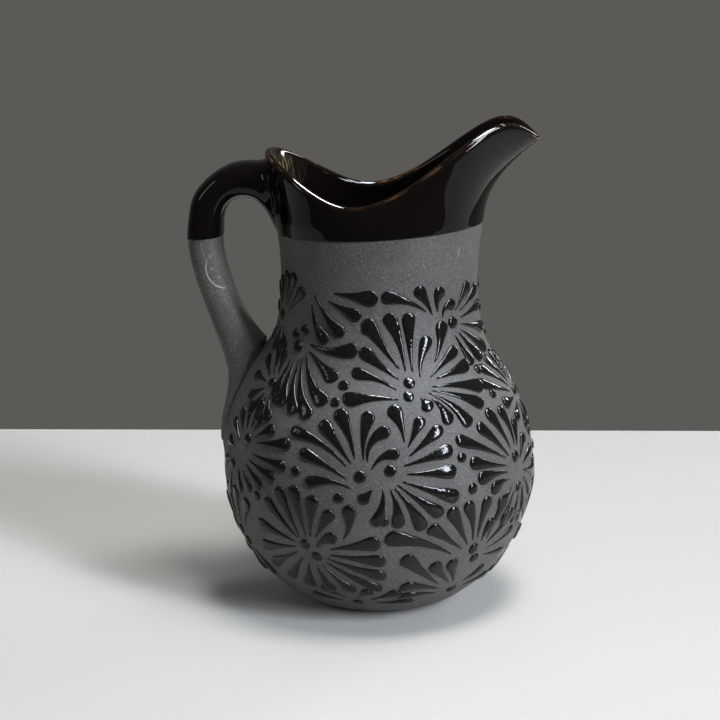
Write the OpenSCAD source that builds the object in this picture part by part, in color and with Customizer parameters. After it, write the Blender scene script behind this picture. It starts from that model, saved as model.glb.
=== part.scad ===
// Black-glazed clay pitcher: a thrown belly and neck, a collar pulled into a spout,
// a strap handle, a dipped glaze on the upper parts and flowers of trailed glaze drops.
// Millimetres. The origin is the middle of the foot, +Z is up and the spout points to +X.

/* [Body] */
// Height of the pot, from the table to the top of the spout
pot_h = 250; // [230:5:270]
// Diameter of the belly at its widest
belly_d = 160; // [150:5:170]
// Thickness of the clay wall
wall_t = 4.5; // [4:0.5:5.5]
// Thickness of the clay floor
floor_t = 8; // [6:1:10]

/* [Collar and spout] */
// Reach of the spout's tip from the middle of the pot
spout_reach = 80; // [74:1:86]
// Half of the collar's width, across the spout
collar_half_w = 51; // [49:0.5:53]
// Reach of the collar's rim on the handle's side
collar_back = 57.5; // [56:0.5:59]
// How pointed the spout is, seen from above
spout_point = 1.6; // [1.3:0.1:2]
// How much more the spout undercuts its tip than the rest of the collar flares
spout_hook = 0.45; // [0:0.05:0.5]
// How much thinner the lip is at the handle than at the spout
lip_thinning = 0.35; // [0:0.05:0.4]

/* [Handle] */
// Thickness of the handle, seen from the side
handle_t = 17.5; // [15:0.5:20]
// Width of the handle's strap
handle_w = 27; // [22:1:30]

/* [Glaze] */
// Thickness of the glaze coats
glaze_t = 0.6; // [0.5:0.1:0.8]
// Height of the dip line on the neck, at the middle of the pot
dip_z = 195; // [193:1:196]
// How far the dip line rises on the spout's side
dip_rise = 3.2; // [0:0.2:3.6]

/* [Flowers] */
// Height of a drop's head above the clay
drop_h = 1.2; // [0.8:0.1:1.6]
// How deep a drop is set into the slip
drop_sink = 0.4; // [0.3:0.1:0.6]
// Turn of the front's flowers that gives the flowers on the back, in degrees
back_turn = 176; // [172:1:178]

/* [Hidden] */
belly_scale = belly_d / 160;
height_scale = pot_h / 250;
around_n = 48;
curve_steps = 4;

// The outside of the belly and neck as [radius, height], from the foot to the collar's seam
wall_knots = [
    [32, 0], [36.5, 2], [45, 6], [59.5, 18], [68.5, 30], [75.5, 45], [80, 68], [78.5, 85],
    [74, 102], [66.5, 118], [56, 134], [51.5, 150], [50, 166], [50.5, 182], [52.5, 200]
];

// The rim's height along the pot as [place from back to spout, height]
rim_knots = [
    [-70, 240], [-57, 234], [-45, 226.5], [-32, 218.5], [-20, 212.5], [-8, 210.5], [5, 213.5],
    [18, 220], [32, 230], [45, 239.5], [57, 247], [68, 249.5], [80, 242], [92, 230]
];

// A smooth curve through points, with the end points repeated
function knot(points, i) = points[max(0, min(len(points) - 1, i))];
function spline_point(a, b, c, d, t) =
    0.5 * (2 * b + (c - a) * t + (2 * a - 5 * b + 4 * c - d) * t * t
        + (3 * b - a - 3 * c + d) * t * t * t);
function smooth(points, steps = curve_steps) = concat(
    [for (i = [0 : len(points) - 2], k = [0 : steps - 1])
        spline_point(knot(points, i - 1), points[i], points[i + 1], knot(points, i + 2),
            k / steps)],
    [points[len(points) - 1]]);

// The wall's outside, and its length measured up from the foot
wall_line = [for (p = smooth(wall_knots)) [p.x * belly_scale, p.y * height_scale]];
function lengths(line, i = 1, sum = 0) =
    i == len(line) ? [sum]
        : concat([sum], lengths(line, i + 1, sum + norm(line[i] - line[i - 1])));
wall_s = lengths(wall_line);
radius_table = [for (i = [0 : len(wall_line) - 1]) [wall_s[i], wall_line[i].x]];
height_table = [for (i = [0 : len(wall_line) - 1]) [wall_s[i], wall_line[i].y]];
neck_table = [for (p = wall_line) [p.y, p.x]];
function wall_at(s) = [lookup(s, radius_table), lookup(s, height_table)];
function wall_normal(s) =
    let (step = wall_at(s + 1) - wall_at(s - 1)) [step.y, -step.x] / norm(step);

// The wall's line moved along its own normals
function moved_line(line, by) = [
    for (i = [0 : len(line) - 1])
        let (step = line[min(i + 1, len(line) - 1)] - line[max(i - 1, 0)])
            line[i] + by * [step.y, -step.x] / norm(step)
];
function above(line, low) = [for (p = line) if (p.y > low) p];

seam_r = wall_line[len(wall_line) - 1].x;
seam_z = wall_line[len(wall_line) - 1].y;
clear_of_floor = 3;
floor_inset = 7;

// Inside of the wall at a depth, from the middle of the floor up to the seam
function inside_line(depth, floor_z) =
    let (line = above(moved_line(wall_line, -depth), floor_z + clear_of_floor))
        concat([[0, floor_z], [line[0].x - floor_inset, floor_z]],
            [for (i = [0 : len(line) - 2]) line[i]], [[seam_r - depth, seam_z]]);
function backwards(list) = [for (i = [len(list) - 1 : -1 : 0]) list[i]];

// Joins rings of points into a closed tube. Its last ring is joined to its first one
// when it is a loop, and otherwise both ends are closed by flat caps.
function ring_faces(rings, n, loop) = [
    for (i = [0 : rings - (loop ? 1 : 2)], j = [0 : n - 1])
        let (a = i * n + j, b = i * n + (j + 1) % n, up = n * ((i + 1) % rings) - i * n)
            each [[a, b, b + up], [a, b + up, a + up]]
];
module skin(rings, loop = false) {
    n = len(rings[0]);
    caps = loop ? [] : [
        [for (j = [n - 1 : -1 : 0]) j],
        [for (j = [0 : n - 1]) (len(rings) - 1) * n + j]
    ];
    polyhedron(
        points = [for (ring = rings, p = ring) p],
        faces = concat(ring_faces(len(rings), n, loop), caps),
        convexity = 10);
}

// A point of the collar: rise runs from the seam, 0, to the rim, 1, and out is the
// distance outside the clay's outer face, so the inner face is at minus the thickness.
rim_line = smooth(rim_knots);
rim_table = [for (p = rim_line) [p.x, p.y * height_scale]];
collar_flare = 1.6;
spout_focus = 4;
function rim_plan(turn, out) =
    let (front = cos(turn) > 0)
        [(front ? spout_reach + out : collar_back + out) * cos(turn),
         sign(sin(turn)) * (collar_half_w + out) * pow(abs(sin(turn)), front ? spout_point : 1)];
function rim_z(turn) = lookup(rim_plan(turn, 0).x, rim_table) - wall_t / 2;
function flare(turn) = collar_flare + spout_hook * pow(max(0, cos(turn)), spout_focus);
function collar_point(rise, turn, out) =
    let (
        low = (seam_r + out) * [cos(turn), sin(turn)],
        high = rim_plan(turn, out),
        plan = low + (high - low) * pow(rise, flare(turn))
    )
    [plan.x, plan.y, seam_z + (rim_z(turn) - seam_z) * rise];
function thickness(rise, turn) = wall_t * (1 - lip_thinning * rise * max(0, -cos(turn)));

// The rounded lip, between the outer face and the inner one
function lip_point(swing, turn, coat) =
    let (
        outer = collar_point(1, turn, coat),
        inner = collar_point(1, turn, -thickness(1, turn) - coat)
    )
    (outer + inner) / 2 + (outer - inner) / 2 * cos(swing)
        + [0, 0, (thickness(1, turn) / 2 + coat) * sin(swing)];

rises = [0, 0.2, 0.4, 0.6, 0.8, 0.92];
lip_swings = [0, 45, 90, 135, 180];
turns = [for (i = [0 : around_n - 1]) i * 360 / around_n];

function neck_ring(share, coat) = [
    for (turn = turns)
        let (
            low = dip_z * height_scale + dip_rise * cos(turn),
            z = low + (seam_z - low) * share,
            r = lookup(z, neck_table) + coat
        )
        [r * cos(turn), r * sin(turn), z]
];
function collar_rings(coat) = concat(
    [for (rise = rises) [for (turn = turns) collar_point(rise, turn, coat)]],
    [for (swing = lip_swings) [for (turn = turns) lip_point(swing, turn, coat)]],
    [for (rise = backwards(rises))
        [for (turn = turns) collar_point(rise, turn, -thickness(rise, turn) - coat)]]
);

// The handle seen from the side, from its root in the collar down to its foot smeared on
// the belly: [outer place, outer height, inner place, inner height, half width as a share,
// how much it wraps on to the round clay]
handle_knots = [
    [-55, 228.5, -50.5, 188, 1.62, 1.6], [-59, 227.5, -54.2, 197, 1.22, 0.9],
    [-64, 227.2, -58, 204, 1.07, 0.3], [-70, 227, -63, 208.3, 1, 0],
    [-77, 225.2, -69.5, 209.3, 0.97, 0], [-84.5, 220.7, -75, 207.3, 0.94, 0],
    [-91, 214.5, -78.5, 203, 0.92, 0], [-96, 206, -80, 197.5, 0.9, 0],
    [-98.2, 187, -80.2, 189, 0.88, 0], [-97.3, 179, -79.8, 181, 0.88, 0],
    [-94.5, 167, -77.3, 171, 0.88, 0], [-90, 154, -73.3, 159.5, 0.9, 0],
    [-85.5, 141.5, -67.5, 147, 0.93, 0.1], [-81.5, 130, -58, 133, 0.98, 0.3],
    [-78.5, 118, -60, 123.5, 1, 0.6], [-78, 109, -66.5, 113, 0.98, 0.9],
    [-79.3, 99.5, -72, 102, 0.88, 1], [-80.6, 90, -75, 91.5, 0.74, 1],
    [-79.8, 82, -76.8, 83, 0.5, 1]
];
handle_steps = 2;
handle_side_n = 16;
handle_squareness = 0.8;
drawn_handle_t = 17.5;
function side_power(value) = sign(value) * pow(abs(value), handle_squareness);
handle_line = smooth(handle_knots, handle_steps);
function handle_ring(i, coat) =
    let (
        p = handle_line[i],
        middle = [p[0] + p[2], p[1] + p[3]] / 2,
        half = [p[0] - p[2], p[1] - p[3]] / 2 * handle_t / drawn_handle_t,
        half_t = half * (1 + coat / norm(half)),
        half_w = handle_w / 2 * p[4] + coat
    )
    [for (j = [0 : handle_side_n - 1])
        let (
            angle = j * 360 / handle_side_n,
            side = middle + half_t * side_power(cos(angle)),
            w = half_w * side_power(sin(angle)),
            wrap = p[5] * w * w / belly_d
        )
        [side.x + wrap, w, side.y * height_scale]];

// The glaze covers the handle from just off its root down to this knot
handle_dip_knot = 8;

// A point that stands at a height on the wall, at a place in a flower's own plane:
// place is measured to the right around the pot and up the wall from the flower's middle.
function on_wall(middle, place, height) =
    let (
        s = middle[1] + place[1],
        wall = wall_at(s),
        normal = wall_normal(s),
        turn = middle[0] + place[0] / wall.x * 180 / PI,
        r = wall.x + normal.x * height
    )
    [r * sin(turn), -r * cos(turn), wall.y + normal.y * height];

// A drop is a comma: a round head and a tail drawn out to a point. Rings along it are
// [share of the way to the head's middle, head radii past it, half width, height].
drop_rings = [
    [0.34, 0, 0.24, 0.45], [0.7, 0, 0.56, 0.8], [1, 0, 1.04, 1], [1, 0.68, 0.78, 0.85]
];
drop_section = [[-1, 0], [-0.52, 1], [0.52, 1], [1, 0]];
drop_tip = 0.2;
module drop(middle, row) {
    tail = [row[0], row[1]];
    head = [row[2], row[3]];
    head_r = row[4];
    bow = row[5];
    along = (head - tail) / norm(head - tail);
    aside = [along.y, -along.x];
    end_way = head - (tail + (head - tail) * 0.7 + aside * bow * 0.84);
    end_along = end_way / norm(end_way);
    tall = drop_h * min(1, head_r / 3.4);
    function way(share) = tail + (head - tail) * share + aside * bow * 4 * share * (1 - share);
    rings = [
        for (ring = drop_rings)
            [for (side = drop_section)
                on_wall(middle,
                    way(ring[0]) + end_along * ring[1] * head_r
                        + [end_along.y, -end_along.x] * side[0] * ring[2] * head_r,
                    side[1] > 0 ? tall * ring[3] * side[1] : -drop_sink)]
    ];
    n = len(drop_section);
    last = len(rings) * n;
    points = concat(
        [for (ring = rings, p = ring) p],
        [on_wall(middle, tail, 0), on_wall(middle, head + end_along * head_r, drop_tip)]);
    faces = concat(
        [for (i = [0 : len(rings) - 2], j = [0 : n - 1])
            let (a = i * n + j, b = i * n + (j + 1) % n)
                each [[a, a + n, b + n], [a, b + n, b]]],
        [for (j = [0 : n - 1]) [last, j, (j + 1) % n]],
        [for (j = [0 : n - 1]) [last + 1, last - n + (j + 1) % n, last - n + j]]);
    polyhedron(points = points, faces = faces, convexity = 4);
}

// A round dot is a drop whose tail is only its own back edge
module dot(middle, row) {
    place = [row[0], row[1]];
    r = row[2];
    tall = drop_h * min(1, r / 3);
    side_n = 8;
    levels = [[1, -drop_sink], [0.92, tall * 0.55], [0.5, tall]];
    points = concat(
        [for (level = levels, j = [0 : side_n - 1])
            on_wall(middle,
                place + r * level[0] * [cos(j * 360 / side_n), sin(j * 360 / side_n)],
                level[1])]);
    faces = concat(
        [for (i = [0 : len(levels) - 2], j = [0 : side_n - 1])
            let (a = i * side_n + j, b = i * side_n + (j + 1) % side_n)
                each [[a, b + side_n, b], [a, a + side_n, b + side_n]]],
        [[for (j = [0 : side_n - 1]) j]],
        [[for (j = [side_n - 1 : -1 : 0]) (len(levels) - 1) * side_n + j]]);
    polyhedron(points = points, faces = faces, convexity = 4);
}

// The flowers: [[turn from the near side, length up the wall], dots, petals]. A dot is
// [right, up, radius]. A petal is [tail right, tail up, head right, head up, head radius,
// bow to the right of its way from tail to head].
flowers = [
    [[4, 106], [[7, 2.5, 3], [-7.5, -0.5, 3]], [
        [13.5, 4.5, 35, 10, 3.6, 0], [16, 9, 30, 20, 3.6, 0], [15.5, 13.5, 21, 25, 3.4, 0],
        [13.5, 16, 9, 31, 3.8, 1], [-2, 3, 8.5, 10.5, 3.2, -2], [-4, 6.5, 3.5, 21, 3.6, -3],
        [-6, 7.5, -4, 28, 3.4, -1], [-10.5, 8, -17, 28.5, 3.6, 1], [-12, 5.5, -25, 22.5, 3.5, 0],
        [-14.5, 4, -41, 18, 3.4, 3], [-14.5, -2, -35.5, 8, 3.4, 1], [-12, -6.5, -32.5, -5, 3.4, 2],
        [-1.5, -6.5, -5.5, -11, 3.3, 0], [3.5, -6.5, 1, -22, 3.4, -1], [7, -6.5, 11, -23, 3.4, -1],
        [9, -6, 22, -25, 3.6, -1], [10.5, -4.5, 30.5, -19, 3.6, 0], [13, -3, 38.5, -12, 3.6, 0],
        [15, 0.5, 37, 0, 3.6, 0]]],
    [[21, 148], [[-2, 3.5, 3], [-3.5, -3.5, 2.8]], [
        [-3, 9.5, -8.5, 35, 3.8, 1.5], [0.5, 9, 0.5, 35, 3.4, 0], [-6, 11, -19, 32, 3.8, 0],
        [-7, 5.5, -21, 18.5, 3.5, 0], [-9, 0, -26, 8.5, 3.6, 1.5], [-9, -5, -32, -5, 3.8, 1],
        [2.5, -4, 5, -8.5, 3.4, 0], [8, -5.5, 15, -16, 3.6, -1], [7, -2.5, 26, -18.5, 3.6, -1.5],
        [9, -1.5, 36, -11.5, 3.4, -1], [9.5, 0.5, 38, -3, 3.6, -1], [12.5, 4.5, 31, 8.5, 4, 0],
        [9.5, 5.5, 24.5, 16.5, 3.6, -0.5], [4, 6, 9, 23, 3.4, -1], [13, 13, 18.5, 29, 3.8, 1]]],
    [[-42, 169], [[-1, -2.5, 3.2], [2, 6, 2.8], [-4.5, 3, 2.6]], [
        [18, 26, 36.5, 24.5, 4.2, 0], [15, 22, 29.5, 16, 3.4, 0], [6.5, 24, 22, 7.5, 3.5, 1],
        [5, 19, 14, 3.5, 3.4, 1.5], [7, -0.5, 29.5, -1.5, 4, 1.5], [7.5, -4, 25, -15, 3.6, 0],
        [6, -6.5, 25.5, -27.5, 3.6, 2], [4, -8, 20, -35, 3.4, 2], [2, -9, 11.5, -34, 3.4, 1.5],
        [-1, -9, 3, -31, 3.4, 1], [-4, -9, -4.5, -28, 3.2, 0]]],
    [[48, 180], [[2, -1, 3.2]], [
        [-14, 6, -33, 14, 3.6, 1.5], [-10.5, 4, -17, 16, 3.4, 0.5], [-7, 5.5, -6, 14.5, 3.3, -1],
        [-4.5, 2, 1.5, 8, 3, -2], [4.5, 4.5, 14.5, 14.5, 3.8, 0], [8, 4, 25, 12, 3.4, 0],
        [8, 0.5, 29, 3.5, 3.2, 0], [8, -2.5, 31, -8, 3.2, 0], [7, -5, 27.5, -17.5, 3.6, 0],
        [5, -6, 18.5, -20, 3.6, 0], [2.5, -7, 10, -21, 3.2, 0]]],
    [[65, 98], [[0, 7.5, 3], [1.5, -8.5, 2.8]], [
        [-9, 8.5, -36, 22, 3.6, 0.5], [-6, 9, -21.5, 26, 3.6, 0], [-3, 12, -12.5, 31.5, 3.6, 0],
        [1.5, 12.5, -2.5, 31, 3.4, 1], [4, 11.5, 6.5, 23, 3.4, 0], [-8.5, 4.5, -31, 10, 3.6, 0],
        [-8.5, 1, -27.5, 2, 3.6, 1], [-7.5, -2.5, -19.5, -4.5, 3.4, 1], [-6, -6, -13.5, -13, 3.8, -1],
        [-3, -9, -9, -23, 3.4, 0], [2, -13, 1, -25, 3.4, 0], [5, -8, 11, -20, 3.4, 0],
        [7, -5, 19.5, -14.5, 3.4, 0], [8, -1.5, 24, -6, 3.4, 0], [8, 2, 22, 5, 3.6, 0],
        [5, 5, 13, 13, 3.8, 0]]],
    [[45, 60], [[-1.5, 2.5, 3], [1.5, -4, 2.8]], [
        [-15, 2, -47, 14, 4.2, 2], [-9.5, 4, -27, 17.5, 3.4, 0], [-6.5, 6, -18, 25, 3.6, 0],
        [-3.5, 8, -9, 27, 3.4, 1], [-0.5, 8.5, 2.5, 27, 3.6, -1], [3, 6, 7, 14.5, 3.4, -1],
        [6.5, 6.5, 16, 24.5, 3.6, -1], [7, 3.5, 24, 16, 3.4, 0], [8, 0, 28, 5, 3.4, 0],
        [7.5, -3.5, 25, -7, 3.4, 0]]],
    [[-21, 64], [[-3, 3.5, 2.8], [2.5, -3, 2.8]], [
        [-5.5, 7, -15.5, 29, 3.4, 0], [-2, 9, -7, 31, 3.4, 0], [0.5, 8.5, 3, 27, 3.6, 0],
        [3.5, 8.5, 11.5, 21, 3.6, 0], [3.5, 2.5, 11.5, 9, 3.2, -1], [18, 9, 22, 24, 3.4, 1.5],
        [10.5, 2.5, 32, 7, 4, 0], [10, -1, 33.5, -3, 3.8, 0], [8, -3.5, 32, -12.5, 3.8, 0],
        [7, -6, 28, -22, 3.8, 0], [4.5, -8, 14.5, -24, 3.6, 0], [1, -9, 4, -25, 3.4, 0],
        [-3, -8, -7, -24, 3.4, 0], [-6, -5, -17, -20, 3.4, 0], [-8.5, -2, -26, -13, 3.4, 0],
        [-9, 1, -30, -3, 3.4, 0], [-8.5, 4, -30, 9, 3.4, 0], [-7, 6.5, -23.5, 22, 3.4, 0]]],
    [[-56, 107], [[3.5, 7.5, 2.8], [-9, -8, 2.8]], [
        [11.5, 7, 31.5, 10, 3.8, 0], [9, 9.5, 19.5, 15, 3.4, 0], [6.5, 12, 14, 21.5, 3.3, 0],
        [4, 13, 5.5, 25, 3.2, 0], [0, 12, -3, 23, 3.2, 0], [-4, 10, -10, 18, 3.2, 0],
        [-5, 5, -17, 11, 3.2, 0], [9, 1, 32, -1, 3.4, 0], [8, -2.5, 26, -7.5, 3.4, 0],
        [6, -5, 17.5, -12.5, 3.4, 0], [3, -6.5, 9.5, -16, 3.2, 0], [-1, -8, 1, -18, 3.2, 0],
        [-10, -13, -13, -22, 3, 0], [-13, -6, -22, -9, 3, 0], [-10, 0, -20, 1.5, 3, 0]]],
    [[-49, 143], [[-2, 2, 2.8]], [
        [-4.5, 6.5, -12, 21, 3, 0], [-1, 7, -3.5, 17, 3, 0], [-6.5, 4.5, -19, 12, 3, 0],
        [-7, 1.5, -21, 2, 3, 0], [-5.5, -1.5, -17, -8, 3.2, 0], [-4, -4, -11, -14.5, 3.2, 0],
        [-1.5, -5, -2.5, -16, 3.3, 0], [1, -5, 4.5, -15, 3.3, 0], [3, -2, 6.5, -5, 3, 0]]],
    [[86, 133], [[-1, 1.5, 2.8]], [
        [-9, 2.5, -30, 12, 3.4, 0], [-6.5, 5, -22, 19, 3.4, 0], [-4, 7, -12, 22, 3.4, 0],
        [-1, 8, -2.5, 23, 3.4, 0], [2.5, 7, 7.5, 20, 3.4, 0], [-7.5, -1, -20, -1, 3.4, 0],
        [-5, -4, -13.5, -9.5, 3.4, 0], [-1.5, -5, -3, -16, 3.4, 0], [3, -4, 8, -13, 3.2, 0],
        [5, 0, 15, -3, 3.2, 0], [5, 4, 14, 9, 3.2, 0]]],
    [[-66, 178], [[-1, 1, 2.8]], [
        [2, 6.5, 4, 21, 3.2, 0], [4.5, 6, 11, 21, 3.2, 0], [7, 4, 18, 15, 3.2, 0],
        [-1.5, 6.5, -4, 18, 3, 0], [-4.5, 5, -11, 14, 3, 0], [-6, 0.5, -16, 3, 3, 0],
        [-4, -3.5, -11, -11, 3, 0], [0, -5, -1, -15, 3, 0], [4, -4, 9, -13, 3, 0]]],
    [[43, 33], [[0, 0, 2.8]], [
        [-12, 8, -35, 28, 3.6, 0], [-6, 8, -19, 22, 3.6, 0], [-3, 8, -9.5, 22, 3.4, 0],
        [4.5, 6, 14, 12, 3.4, 0], [-10, 3.5, -29, 9, 3.4, 1], [-9, -1, -26, 0, 3.4, 1],
        [7, 1, 24, 3, 3.4, 0]]],
    [[-6, 25], [[0, 0, 2.8]], [
        [-7, 1, -22, 4, 3.2, 0], [-5, 5, -15, 12, 3.2, 0], [7, 4, 20, 11, 3.4, 0],
        [8, 0, 25, 1, 3.4, 0], [1, 5.5, 6, 12, 3.4, 0]]],
    [[-62, 60], [[-2, 3, 2.8], [2.5, -2.5, 2.8]], [
        [-4, 8, -9, 24, 3.4, 0], [1, 8, 3, 25, 3.4, 0], [5, 6, 14, 21, 3.4, 0],
        [-7.5, 4, -20, 16, 3.4, 0], [-9, -1, -25, 2, 3.4, 0], [-6, -5, -17, -13, 3.4, 0],
        [-1, -8, -3, -21, 3.4, 0], [6, -6, 12, -18, 3.4, 0]]],
    [[83, 58], [[-2, 2.5, 2.8], [2, -3, 2.8]], [
        [-6, 6, -17, 14, 3.4, 0], [-3, 9, -9, 18, 3.4, 0], [2.5, 8, 6, 24, 3.4, 0],
        [6.5, 5, 18, 17, 3.4, 0], [8, 0, 25, 3, 3.4, 0], [6, -6, 17, -14, 3.4, 0],
        [1, -9, 3, -24, 3.4, 0], [-5, -7, -12, -19, 3.4, 0]]],
    [[93, 101], [[0, 1, 2.8]], [
        [-4, 4.5, -9, 11, 3, 0], [0.5, 6, 1.5, 13.5, 3, 0], [5, 3.5, 12, 8, 3, 0],
        [5.5, -1.5, 14, -3.5, 3, 0], [3, -5, 7, -14, 3, 0], [-1.5, -5.5, -3.5, -15, 3, 0],
        [-5.5, -2, -12, -4.5, 3, 0]]]
];
// Flowers that the handle's foot leaves no room for on the back
front_only = [9, 13, 15];
back_flowers = [for (i = [0 : len(flowers) - 1]) if (len(search(i, front_only)) == 0) i];

// The single dots between the flowers: [turn, length up the wall, radius]
filler_dots = [
    [-9, 94.5, 2.6], [-11, 150, 2.8], [-13.5, 141, 2.5], [36.5, 112, 2.6], [40, 96, 2.8],
    [60.5, 153, 2.6], [62, 139, 2.6], [-26, 105, 2.7], [-33.5, 117, 2.4], [7, 83, 2.4],
    [70, 72, 2.5], [-44, 88, 2.5], [-2, 178, 2.4], [24, 77, 2.4], [101, 119, 2.6],
    [105, 150, 2.6], [88, 85, 2.5], [104, 86, 2.5]
];
// The handle's foot starts past this turn
handle_side_turn = 255;

front_names = [for (i = [0 : len(flowers) - 1]) str("front_flower_", i + 1)];
back_names = [for (i = back_flowers) str("back_flower_", i + 1)];

module belly_and_neck() {
    color("dimgray")
        rotate_extrude($fn = 96)
            polygon(concat([[0, 0]], wall_line, backwards(inside_line(wall_t, floor_t))));
}

module collar_with_spout() {
    color("dimgray") skin(collar_rings(0), loop = true);
}

module handle() {
    color("slategray")
        skin([for (i = [0 : len(handle_line) - 1]) handle_ring(i, 0)]);
}

// The coat over the collar: from the dip line up, over the lip and down inside to the seam
module lip_glaze() {
    color("black")
        skin(concat(
            [for (share = [0, 0.5]) neck_ring(share, glaze_t)],
            collar_rings(glaze_t),
            backwards(concat([for (share = [0, 0.5]) neck_ring(share, 0)], collar_rings(0)))
        ), loop = true);
}

// The coat inside, from the floor up to the seam
module liner_glaze() {
    color("black")
        rotate_extrude($fn = 96)
            polygon(concat(
                inside_line(wall_t + glaze_t, floor_t + glaze_t),
                backwards(inside_line(wall_t, floor_t))));
}

module handle_glaze() {
    steps = [1 : handle_dip_knot * handle_steps];
    color("black")
        skin(concat(
            [for (i = steps) handle_ring(i, glaze_t)],
            backwards([for (i = steps) handle_ring(i, 0)])
        ), loop = true);
}

module flower(i, turn) {
    middle = flowers[i][0] + [turn, 0];
    color("#151312") {
        for (row = flowers[i][1]) dot(middle, row);
        for (row = flowers[i][2]) drop(middle, row);
    }
}

module filler_dot_group(turn) {
    color("#151312")
        for (row = filler_dots)
            if (row[0] + turn < handle_side_turn) dot([row[0] + turn, row[1]], [0, 0, row[2]]);
}

belly_and_neck();
collar_with_spout();
handle();
lip_glaze();
liner_glaze();
handle_glaze();
filler_dot_group(0);  // front_filler_dots
filler_dot_group(back_turn);  // back_filler_dots
for (i = [0 : len(flowers) - 1])
    flower(i, 0);
for (k = [0 : len(back_flowers) - 1])
    flower(back_flowers[k], back_turn);
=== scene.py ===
# Clay pitcher with a dipped black glaze and flowers of trailed glaze drops.
# The jug's sizes are in millimetres and become metres by mm where its meshes are made; the
# studio's are in metres. Its spout points to +X, its handle to -X, and it stands on z = 0.
import math
import random
import bpy
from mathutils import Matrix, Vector
from mathutils.bvhtree import BVHTree


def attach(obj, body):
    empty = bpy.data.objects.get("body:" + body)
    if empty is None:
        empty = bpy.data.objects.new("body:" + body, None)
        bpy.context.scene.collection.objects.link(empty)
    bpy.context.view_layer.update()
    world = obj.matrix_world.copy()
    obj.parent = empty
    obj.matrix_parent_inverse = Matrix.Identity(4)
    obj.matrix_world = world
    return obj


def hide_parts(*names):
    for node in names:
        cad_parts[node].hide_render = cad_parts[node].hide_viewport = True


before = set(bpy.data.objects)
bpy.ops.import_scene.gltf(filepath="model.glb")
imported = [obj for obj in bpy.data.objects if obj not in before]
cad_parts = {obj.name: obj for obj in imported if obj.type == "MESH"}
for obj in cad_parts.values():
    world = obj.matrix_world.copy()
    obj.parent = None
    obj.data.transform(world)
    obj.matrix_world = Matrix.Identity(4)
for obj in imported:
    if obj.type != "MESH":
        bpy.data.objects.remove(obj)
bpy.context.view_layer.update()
print("frame loaded")

mm = 0.001
seamWeld = 0.01 * mm      # points nearer than this are one where a loop of rings closes
dropWeld = 0.001 * mm
joinSwell = 0.25          # share of its reach by which clay swells where two pieces meet
smoothing = {"levels": 2, "render_levels": 2}


def selectOnly(*pieces):
    bpy.ops.object.select_all(action="DESELECT")
    for piece in pieces:
        piece.select_set(True)
        bpy.context.view_layer.objects.active = piece


def finishWith(piece, kind, **settings):
    # adds a modifier and applies it straight away
    selectOnly(piece)
    modifier = piece.modifiers.new(kind.title(), kind)
    for setting, value in settings.items():
        setattr(modifier, setting, value)
    bpy.ops.object.modifier_apply(modifier=modifier.name)


def closeMesh(weld=0.0, fill=False):
    # the active mesh gets its doubled points merged, its ends filled and its faces outwards
    bpy.ops.object.mode_set(mode="EDIT")
    bpy.ops.mesh.select_all(action="SELECT")
    if weld:
        bpy.ops.mesh.remove_doubles(threshold=weld)
    if fill:
        bpy.ops.mesh.fill_holes(sides=0)
    bpy.ops.mesh.select_all(action="SELECT")
    bpy.ops.mesh.normals_make_consistent(inside=False)
    bpy.ops.object.mode_set(mode="OBJECT")
    bpy.ops.object.shade_smooth()


def growRings(name, rings, marks=None, loop=False):
    # a circle is extruded once for each ring, then every ring's points go to their places;
    # marks are attributes for the glaze, with one value for each ring; in a loop the last
    # ring meets the first
    around = len(rings[0])
    bpy.ops.object.select_all(action="DESELECT")
    bpy.ops.mesh.primitive_circle_add(vertices=around, radius=1)
    piece = bpy.context.object
    piece.name = piece.data.name = name
    bpy.ops.object.mode_set(mode="EDIT")
    bpy.ops.mesh.select_all(action="SELECT")
    for ring in rings[1:]:
        bpy.ops.mesh.extrude_edges_move(TRANSFORM_OT_translate={"value": (0, 0, 1)})
    bpy.ops.object.mode_set(mode="OBJECT")
    for mark in marks or {}:
        piece.data.attributes.new(mark, "FLOAT", "POINT")
    for vertex in piece.data.vertices:
        level = round(vertex.co.z)
        turn = round(math.atan2(vertex.co.y, vertex.co.x) / math.tau * around - around / 4)
        vertex.co = Vector(rings[level][turn % around]) * mm
        for mark, values in (marks or {}).items():
            piece.data.attributes[mark].data[vertex.index].value = values[level]
    closeMesh(weld=seamWeld if loop else 0.0, fill=not loop)
    return piece


def splinePoint(a, b, c, d, t):
    # a smooth curve from b to c that also heeds the knots before and after
    return [
        0.5 * (2 * q + (r - p) * t + (2 * p - 5 * q + 4 * r - s) * t * t
               + (3 * q - p - 3 * r + s) * t ** 3)
        for p, q, r, s in zip(a, b, c, d)
    ]


def smoothLine(knots, steps):
    # the curve through all the knots, with this many steps from knot to knot
    last = len(knots) - 1
    line = [
        splinePoint(knots[max(i - 1, 0)], knots[i], knots[i + 1], knots[min(i + 2, last)],
                    k / steps)
        for i in range(last) for k in range(steps)
    ]
    return line + [list(knots[-1])]


def lookUp(x, table):
    # a value between the rows of a table, held level past its ends
    if x <= table[0][0]:
        return table[0][1]
    for (x0, y0), (x1, y1) in zip(table, table[1:]):
        if x <= x1:
            return y0 + (y1 - y0) * (x - x0) / (x1 - x0)
    return table[-1][1]


def softenJoin(first, second, reach, takes):
    # where two pieces meet, both swell toward each other into a soft hollow, as luted clay does
    pair = (first, second)
    depsgraph = bpy.context.evaluated_depsgraph_get()
    trees = [BVHTree.FromObject(piece, depsgraph) for piece in pair]
    moves = []
    for piece, tree in zip(pair, trees[::-1]):
        for vertex in piece.data.vertices:
            if takes(vertex):
                gap = tree.find_nearest(vertex.co)[3]
                share = max(0.0, 1 - gap / reach)
                moves.append((vertex, vertex.normal * share * share * reach * joinSwell))
    for vertex, move in moves:
        vertex.co = vertex.co + move


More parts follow.
